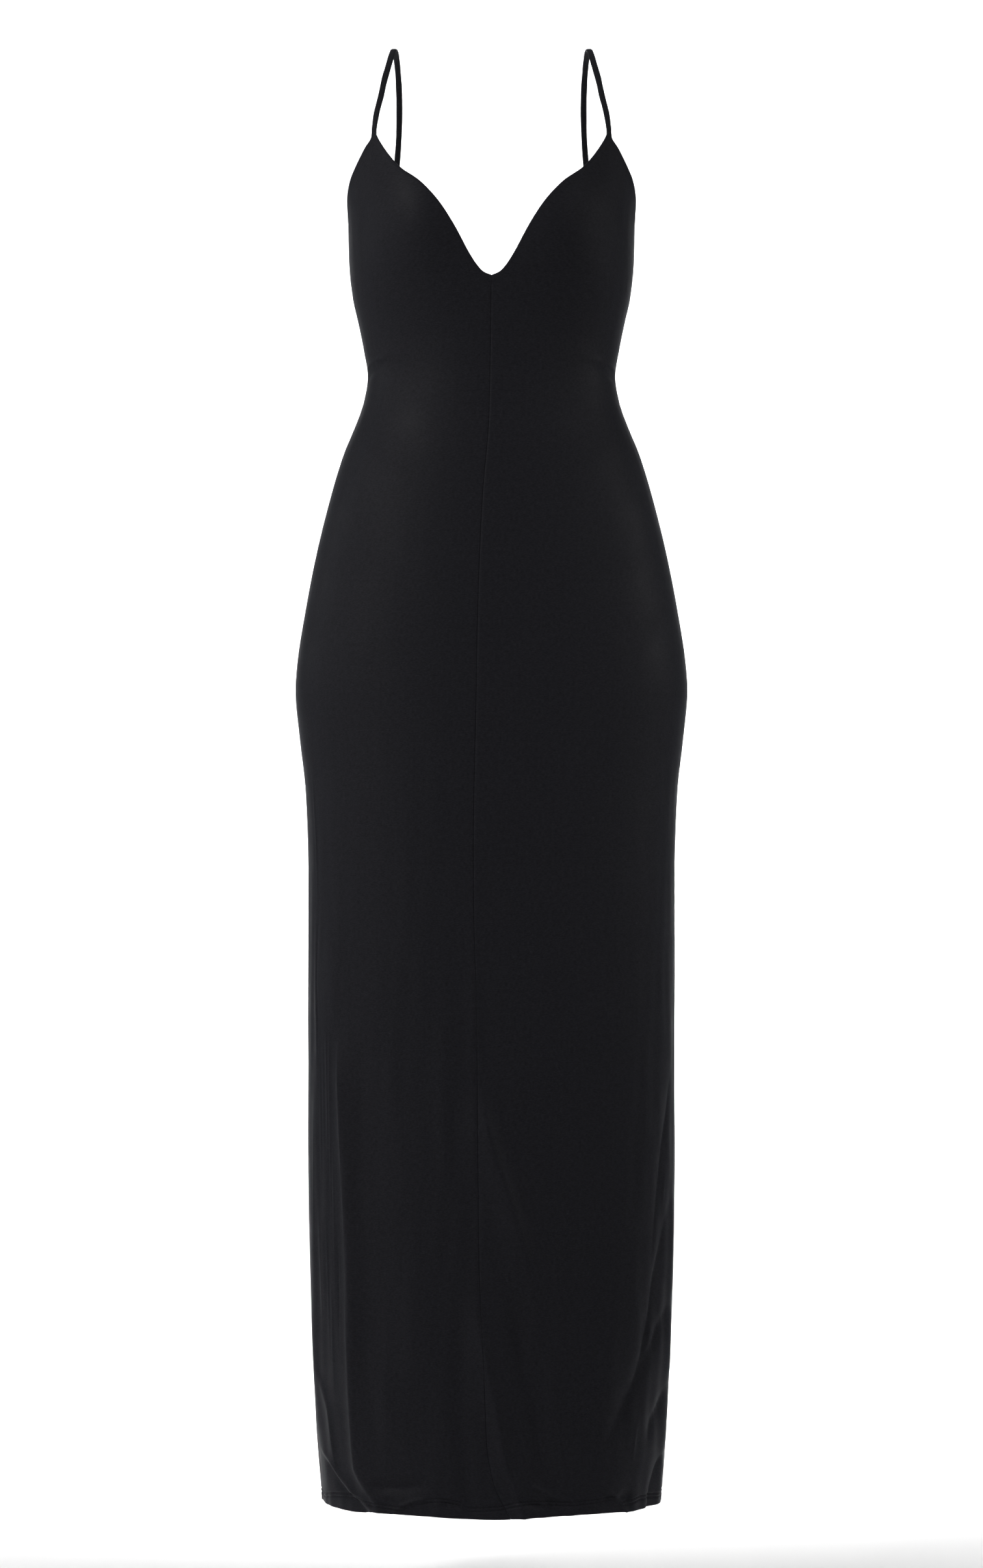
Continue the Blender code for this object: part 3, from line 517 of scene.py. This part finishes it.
def jersey(name, colour, sheen):
    """Fine black knit: rows of stitches, a slight mottling, and a soft sheen at grazing angles."""
    material = bpy.data.materials.new(name)
    material.use_nodes = True
    nodes, links = material.node_tree.nodes, material.node_tree.links
    shader = nodes["Principled BSDF"]
    shader.inputs["Specular IOR Level"].default_value = 0.07
    shader.inputs["Sheen Weight"].default_value = sheen
    shader.inputs["Sheen Roughness"].default_value = 0.50
    shader.inputs["Sheen Tint"].default_value = (0.80, 0.86, 1.0, 1)
    place = nodes.new("ShaderNodeUVMap")
    place.uv_map = "cloth"
    stitches_wide = nodes.new("ShaderNodeMapping")
    stitches_wide.inputs["Scale"].default_value = (KNIT_ACROSS, KNIT_DOWN, 1)
    stitch = nodes.new("ShaderNodeTexNoise")
    stitch.inputs["Scale"].default_value = 1
    stitch.inputs["Detail"].default_value = 3
    mottle = nodes.new("ShaderNodeTexNoise")
    mottle.inputs["Scale"].default_value = 240
    mottle.inputs["Detail"].default_value = 3
    cloud = nodes.new("ShaderNodeTexNoise")
    cloud.inputs["Scale"].default_value = 22
    cloud.inputs["Detail"].default_value = 3
    for node in (stitches_wide, mottle, cloud):
        links.new(place.outputs["UV"], node.inputs["Vector"])
    links.new(stitches_wide.outputs["Vector"], stitch.inputs["Vector"])
    speckle = nodes.new("ShaderNodeMath")
    speckle.operation = "MULTIPLY_ADD"
    speckle.inputs[1].default_value = 0.45
    links.new(mottle.outputs["Fac"], speckle.inputs[0])
    links.new(stitch.outputs["Fac"], speckle.inputs[2])
    tone = nodes.new("ShaderNodeValToRGB")
    tone.color_ramp.elements[0].position = 0.42
    tone.color_ramp.elements[0].color = (*(value * 0.70 for value in colour), 1)
    tone.color_ramp.elements[1].position = 1.02
    tone.color_ramp.elements[1].color = (*(value * 1.30 for value in colour), 1)
    links.new(speckle.outputs[0], tone.inputs["Fac"])
    links.new(tone.outputs["Color"], shader.inputs["Base Color"])
    gloss = nodes.new("ShaderNodeMapRange")
    gloss.inputs["From Min"].default_value = 0.3
    gloss.inputs["From Max"].default_value = 0.7
    gloss.inputs["To Min"].default_value = 0.52
    gloss.inputs["To Max"].default_value = 0.62
    links.new(cloud.outputs["Fac"], gloss.inputs["Value"])
    links.new(gloss.outputs["Result"], shader.inputs["Roughness"])
    bump = nodes.new("ShaderNodeBump")
    bump.inputs["Strength"].default_value = 0.5
    bump.inputs["Distance"].default_value = 0.00012
    links.new(speckle.outputs[0], bump.inputs["Height"])
    links.new(bump.outputs["Normal"], shader.inputs["Normal"])
    return material


BLACK = (0.0158, 0.0157, 0.0192)
black_jersey = jersey("black jersey", BLACK, 0.04)

NECK_COLUMNS = 62
ARMHOLE_COLUMNS = 104
inner_peak = NECKLINE[-1].x
neck_x = inner_peak * np.linspace(0, 1, NECK_COLUMNS) ** 1.3
neck_z = read_curve(NECKLINE, "z", "x", neck_x) * MM
neck_angle = np.degrees(np.arcsin(neck_x / read_curve(FIGURE, "half_width", "z", neck_z / MM)))
arm_angle = ARMHOLE[0].angle + (90 - ARMHOLE[0].angle) * np.linspace(0, 1, ARMHOLE_COLUMNS)
arm_z = read_curve(ARMHOLE, "z", "angle", arm_angle) * MM
half_angle = np.concatenate([neck_angle, [(neck_angle[-1] + arm_angle[0]) / 2], arm_angle])
half_top = np.concatenate([neck_z, [neck_z[-1] + 0.6 * MM], arm_z])
half_z = heights(half_top, 30)
seam = seam_angle(half_z)
for name, side in (("front_left", -1), ("front_right", 1)):
    half = side * half_angle[None, :] + seam * (1 - half_angle[None, :] / 90)
    piece = cloth_shell(name + "_cloth", half, half_z, flip=side < 0)
    piece.data.materials.append(black_jersey)
    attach(piece, "root")
    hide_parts(name)

# Back, one low panel of the same jersey, from the underarm to the hem. Its top edge is turned in and dips a
# little to the middle. It is cut wider over the seat and falls straight from there.
BACK_DIP = 18 * MM
back_angle = np.linspace(90, 270, 184)
back_top = SIDE_TOP_Z - BACK_DIP * np.abs(np.cos(np.radians(back_angle))) ** 3
back_z = heights(back_top, 14)
back = cloth_shell("back_cloth", np.repeat(back_angle[None, :], len(back_z), 0), back_z, flip=False)
back.data.materials.append(black_jersey)
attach(back, "root")
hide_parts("back")

# Shoulder straps, two narrow tubes of jersey turned right side out and pressed flat. Each is caught
# between the layers of the cup's peak, goes over the shoulder, and is sewn inside the back's top edge.
STRAP_WIDTH = 5.8 * MM
STRAP_THICK = 2.3 * MM
STRAP_SIDES = 20
STRAP_LEAN = math.radians(38)   # at the cup's peak, fading away up the strap
LEAN_TOP_Z = -48 * MM
LEAN_FADE = 38 * MM
# The straps' black is a shade darker than the dress's jersey: painted shade for the light the straps catch
# from the front boxes above.
STRAP_SHADED_BLACK = (0.0150, 0.0149, 0.0176)
StrapPoint = namedtuple("StrapPoint", "x y z")
STRAP_PATH = (
    StrapPoint(-108.7, -64.1, -99.0),
    StrapPoint(-108.7, -62.5, -92.0),
    StrapPoint(-108.5, -61.0, -86.0),
    StrapPoint(-108.1, -59.0, -80.5),
    StrapPoint(-106.2, -52.5, -66.5),
    StrapPoint(-102.6, -43.5, -50.2),
    StrapPoint(-99.6, -34.0, -33.8),
    StrapPoint(-95.2, -20.5, -15.0),
    StrapPoint(-92.8, -9.5, -4.2),
    StrapPoint(-91.2, 0.0, 0.0),
    StrapPoint(-89.9, 11.0, -3.0),
    StrapPoint(-88.9, 23.0, -10.5),
    StrapPoint(-87.9, 39.0, -25.5),
    StrapPoint(-87.6, 54.0, -46.0),
    StrapPoint(-88.5, 67.0, -74.0),
    StrapPoint(-91.0, 75.5, -105.0),
    StrapPoint(-94.0, 80.5, -145.0),
    StrapPoint(-96.6, 80.0, -185.0),
    StrapPoint(-98.0, 75.5, -216.0),
)


def strap(name, side):
    """A flat tube along the strap's path."""
    path = np.array(STRAP_PATH) * MM
    stations = np.linspace(0, len(path) - 1, 150)
    i = np.clip(stations.astype(int), 0, len(path) - 2)
    t = (stations - i)[:, None]
    padded = np.concatenate([2 * path[:1] - path[1:2], path, 2 * path[-1:] - path[-2:-1]])
    p0, p1, p2, p3 = (padded[i + k] for k in range(4))
    line = 0.5 * (2 * p1 + (p2 - p0) * t + (2 * p0 - 5 * p1 + 4 * p2 - p3) * t ** 2
                  + (3 * p1 - p0 - 3 * p2 + p3) * t ** 3)
    tangent = np.gradient(line, axis=0)
    tangent /= np.linalg.norm(tangent, axis=1, keepdims=True)
    wide = np.array([1.0, 0, 0]) - tangent * tangent[:, :1]
    wide /= np.linalg.norm(wide, axis=1, keepdims=True)
    thick = np.cross(tangent, wide)
    # at the cup's peak the strap lies along the cloth, and it turns to the front above that
    lean = STRAP_LEAN * np.clip((LEAN_TOP_Z - line[:, 2:]) / LEAN_FADE, 0, 1) * (line[:, 1:2] < 0)
    wide, thick = wide * np.cos(lean) - thick * np.sin(lean), thick * np.cos(lean) + wide * np.sin(lean)
    sides = STRAP_SIDES
    turn = 2 * math.pi * (np.arange(sides) + 0.5) / sides
    flat = np.sign(np.cos(turn)) * np.abs(np.cos(turn)) ** 0.75 * STRAP_WIDTH / 2
    tall = np.sign(np.sin(turn)) * np.abs(np.sin(turn)) ** 0.9 * STRAP_THICK / 2
    ripple = 1 + 0.03 * np.sin(stations * 2.1) + 0.02 * np.sin(stations * 5.3)
    ring = line[:, None] + wide[:, None] * (flat[None, :] * ripple[:, None])[..., None] \
        + thick[:, None] * tall[None, :, None]
    ring[..., 0] *= -side
    count = len(line)
    vertex = np.arange(count * sides).reshape(count, sides)
    beside = np.roll(vertex, -1, axis=1)
    faces = np.stack([vertex[:-1], beside[:-1], beside[1:], vertex[1:]], -1).reshape(-1, 4)
    if side > 0:
        faces = faces[:, ::-1]
    caps = [vertex[0].tolist(), vertex[-1].tolist()[::-1]]
    if side > 0:
        caps = [cap[::-1] for cap in caps]
    mesh = bpy.data.meshes.new(name)
    mesh.from_pydata(ring.reshape(-1, 3).tolist(), [], [tuple(f) for f in faces.tolist()] + caps)
    mesh.validate()
    layer = mesh.uv_layers.new(name="cloth")
    corner = np.empty(len(mesh.loops), int)
    mesh.loops.foreach_get("vertex_index", corner)
    run = np.cumsum(np.linalg.norm(np.diff(line, axis=0, prepend=line[:1]), axis=1))
    round_tube = np.repeat((turn * STRAP_WIDTH / 3)[None], count, 0)
    uv = np.stack([round_tube, np.repeat(run[:, None], sides, 1)], -1)
    layer.data.foreach_set("uv", uv.reshape(-1, 2)[corner].ravel())
    mesh.shade_smooth()
    piece = bpy.data.objects.new(name, mesh)
    bpy.context.scene.collection.objects.link(piece)
    return piece


# the strap jersey is the dress's jersey with painted shade: its black is a shade darker
strap_jersey = jersey("strap jersey", STRAP_SHADED_BLACK, 0.05)
for name, side in (("strap_left", -1), ("strap_right", 1)):
    piece = strap(name + "_tube", side)
    piece.data.materials.append(strap_jersey)
    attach(piece, "root")
    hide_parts(name)

# Hem stitching: two rows of straight stitches in black thread hold the turned-up hem, a little over a
# centimetre above its edge. The line wanders where the hem rolls.
STITCH = 2.7 * MM
STITCH_STEP = 3.3 * MM
THREAD = 0.19 * MM


def stitches(name):
    """Short capsules of thread, laid end to end along both rows."""
    points, faces = [], []
    fine = np.linspace(-90, 270, 3600, endpoint=False)
    for row in (0, 1):
        z = HEM_Z + read_curve(HEM_LINE, "height", "angle", fine) * MM - row * ROW_APART
        line = cloth(fine, z)
        run = np.concatenate([[0], np.cumsum(np.linalg.norm(np.diff(line, axis=0), axis=1))])
        starts = np.arange(0, run[-1] - STITCH, STITCH_STEP)
        for start in starts:
            ends = [np.array([np.interp(start + share * STITCH, run, line[:, k]) for k in range(3)])
                    for share in (0, 0.5, 1)]
            ahead = (ends[2] - ends[0]) / np.linalg.norm(ends[2] - ends[0])
            out = np.array([ends[1][0], ends[1][1], 0])
            out /= np.linalg.norm(out)
            up = np.cross(out, ahead)
            base = len(points)
            for end, size, lift in ((ends[0], 0.5, -0.3), (ends[0] * 0.8 + ends[2] * 0.2, 1, 0.35),
                                    (ends[0] * 0.2 + ends[2] * 0.8, 1, 0.35), (ends[2], 0.5, -0.3)):
                for turn in range(6):
                    bend = turn * math.pi / 3
                    spoke = out * math.cos(bend) + up * math.sin(bend)
                    points.append(end + out * lift * THREAD + spoke * THREAD * size)
            for ring in range(3):
                for turn in range(6):
                    a, b = base + ring * 6 + turn, base + ring * 6 + (turn + 1) % 6
                    faces.append((a, a + 6, b + 6, b))
            faces.append(tuple(base + k for k in range(6)))
            faces.append(tuple(base + 18 + k for k in range(5, -1, -1)))
    mesh = bpy.data.meshes.new(name)
    mesh.from_pydata([tuple(point) for point in points], [], faces)
    mesh.shade_smooth()
    piece = bpy.data.objects.new(name, mesh)
    bpy.context.scene.collection.objects.link(piece)
    return piece


thread = bpy.data.materials.new("black thread")
thread.use_nodes = True
thread_shader = thread.node_tree.nodes["Principled BSDF"]
thread_shader.inputs["Roughness"].default_value = 0.75
thread_shader.inputs["Specular IOR Level"].default_value = 0.1
twist = thread.node_tree.nodes.new("ShaderNodeTexNoise")
twist.inputs["Scale"].default_value = 900
fibre = thread.node_tree.nodes.new("ShaderNodeValToRGB")
fibre.color_ramp.elements[0].color = (0.005, 0.005, 0.006, 1)
fibre.color_ramp.elements[1].color = (0.014, 0.014, 0.017, 1)
thread.node_tree.links.new(twist.outputs["Fac"], fibre.inputs["Fac"])
thread.node_tree.links.new(fibre.outputs["Color"], thread_shader.inputs["Base Color"])
hem_stitches = stitches("hem_stitches")
hem_stitches.data.materials.append(thread)
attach(hem_stitches, "root")

# Floor and wall: a plain pale floor, and a roll of pale paper that lies on it and rises behind the dress. The
# floor is under the feet of someone who wears the dress, so the hem hangs a hand's width above it. The paper
# is narrow, so that the dress can be seen from behind past its edges.
HEM_OVER_FLOOR = 0.09
FLOOR_Z = HEM_Z - HEM_OVER_FLOOR
FLOOR_HALF = 7.0
PAPER_HALF = 1.9
PAPER_FRONT = -2.5
BEND_START = 1.6
BEND_RADIUS = 1.4
PAPER_TOP = 4.0
floor_mesh = bpy.data.meshes.new("studio_floor")
floor_mesh.from_pydata([(x, y, FLOOR_Z - 2 * MM) for y in (-FLOOR_HALF, FLOOR_HALF)
                        for x in (-FLOOR_HALF, FLOOR_HALF)], [], [(0, 1, 3, 2)])
floor = bpy.data.objects.new("studio_floor", floor_mesh)
bpy.context.scene.collection.objects.link(floor)
sweep_profile = [(PAPER_FRONT, 0.0), (BEND_START, 0.0)]
sweep_profile += [(BEND_START + BEND_RADIUS * math.sin(turn), BEND_RADIUS - BEND_RADIUS * math.cos(turn))
                  for turn in np.linspace(0, math.pi / 2, 24)[1:]]
sweep_profile += [(BEND_START + BEND_RADIUS, PAPER_TOP)]
sweep_points = [(x, y, FLOOR_Z + up) for y, up in sweep_profile for x in (-PAPER_HALF, PAPER_HALF)]
sweep_faces = [(2 * k, 2 * k + 1, 2 * k + 3, 2 * k + 2) for k in range(len(sweep_profile) - 1)]
sweep_mesh = bpy.data.meshes.new("studio_sweep")
sweep_mesh.from_pydata(sweep_points, [], sweep_faces)
sweep_mesh.shade_smooth()
sweep = bpy.data.objects.new("studio_sweep", sweep_mesh)
bpy.context.scene.collection.objects.link(sweep)
paper = bpy.data.materials.new("pale paper")
paper.use_nodes = True
paper.node_tree.nodes["Principled BSDF"].inputs["Base Color"].default_value = (0.90, 0.90, 0.90, 1)
paper.node_tree.nodes["Principled BSDF"].inputs["Roughness"].default_value = 0.9
sweep_mesh.materials.append(paper)
floor_mesh.materials.append(paper)

# Lights: a small gridded box at each side draws the bright edges, and two soft boxes in front, the left one
# stronger, shape the folds. One gridded box overhead lights the wall and another, behind the dress, the
# floor. A dim even surround fills the rest.


def soft_box(name, place, aim, size, power, spread=180):
    """A rectangular studio light at place, turned to aim; a grid on its front narrows the spread."""
    lamp = bpy.data.lights.new(name, "AREA")
    lamp.shape = "RECTANGLE"
    lamp.size, lamp.size_y = size
    lamp.energy = power
    lamp.spread = math.radians(spread)
    light = bpy.data.objects.new(name, lamp)
    light.location = place
    light.rotation_euler = (Vector(aim) - Vector(place)).to_track_quat("-Z", "Z").to_euler()
    bpy.context.scene.collection.objects.link(light)


soft_box("left box", (-2.2, 0.4, 0.0), (0, 0, -0.65), (0.5, 0.5), 0.5, spread=50)
soft_box("right box", (2.3, -0.2, 0.0), (0, 0, -0.65), (0.5, 0.5), 1.1, spread=50)
soft_box("left front box", (-2.3, -1.7, 1.0), (0, 0, -0.5), (0.9, 1.2), 50)
soft_box("right front box", (2.1, -1.8, 1.0), (0, 0, -0.5), (0.9, 1.2), 12)
soft_box("wall box", (0, -0.6, 2.6), (0, 3.0, -0.25), (1.6, 0.9), 50, spread=48)
soft_box("floor box", (0, 1.1, 2.6), (0, 1.1, FLOOR_Z), (1.8, 1.1), 21, spread=31)
world = bpy.data.worlds.new("surround")
world.use_nodes = True
world.node_tree.nodes["Background"].inputs["Color"].default_value = (1.0, 1.0, 1.0, 1)
world.node_tree.nodes["Background"].inputs["Strength"].default_value = 0.07
bpy.context.scene.world = world
bpy.context.scene.view_settings.view_transform = "Standard"

# Camera: level with the middle of the dress and square to its front, far enough back that the hem's curve
# shows only as a shallow bow.
METRES_PER_PIXEL = 0.61 * MM     # on the plane of the side seams
PICTURE_HEIGHT = 2411
TOP_ROW = 75                     # where the straps' top shows
DISTANCE = 4.0
SENSOR_WIDTH = 36
STRAP_TOP_Z = 1.2 * MM
camera_data = bpy.data.cameras.new("camera")
camera_data.sensor_width = SENSOR_WIDTH
camera_data.lens = DISTANCE * SENSOR_WIDTH / (PICTURE_HEIGHT * METRES_PER_PIXEL)
camera = bpy.data.objects.new("camera", camera_data)
camera.location = (0, -DISTANCE, STRAP_TOP_Z - (PICTURE_HEIGHT / 2 - TOP_ROW) * METRES_PER_PIXEL)
camera.rotation_euler = (math.pi / 2, 0, 0)
bpy.context.scene.collection.objects.link(camera)
bpy.context.scene.camera = camera
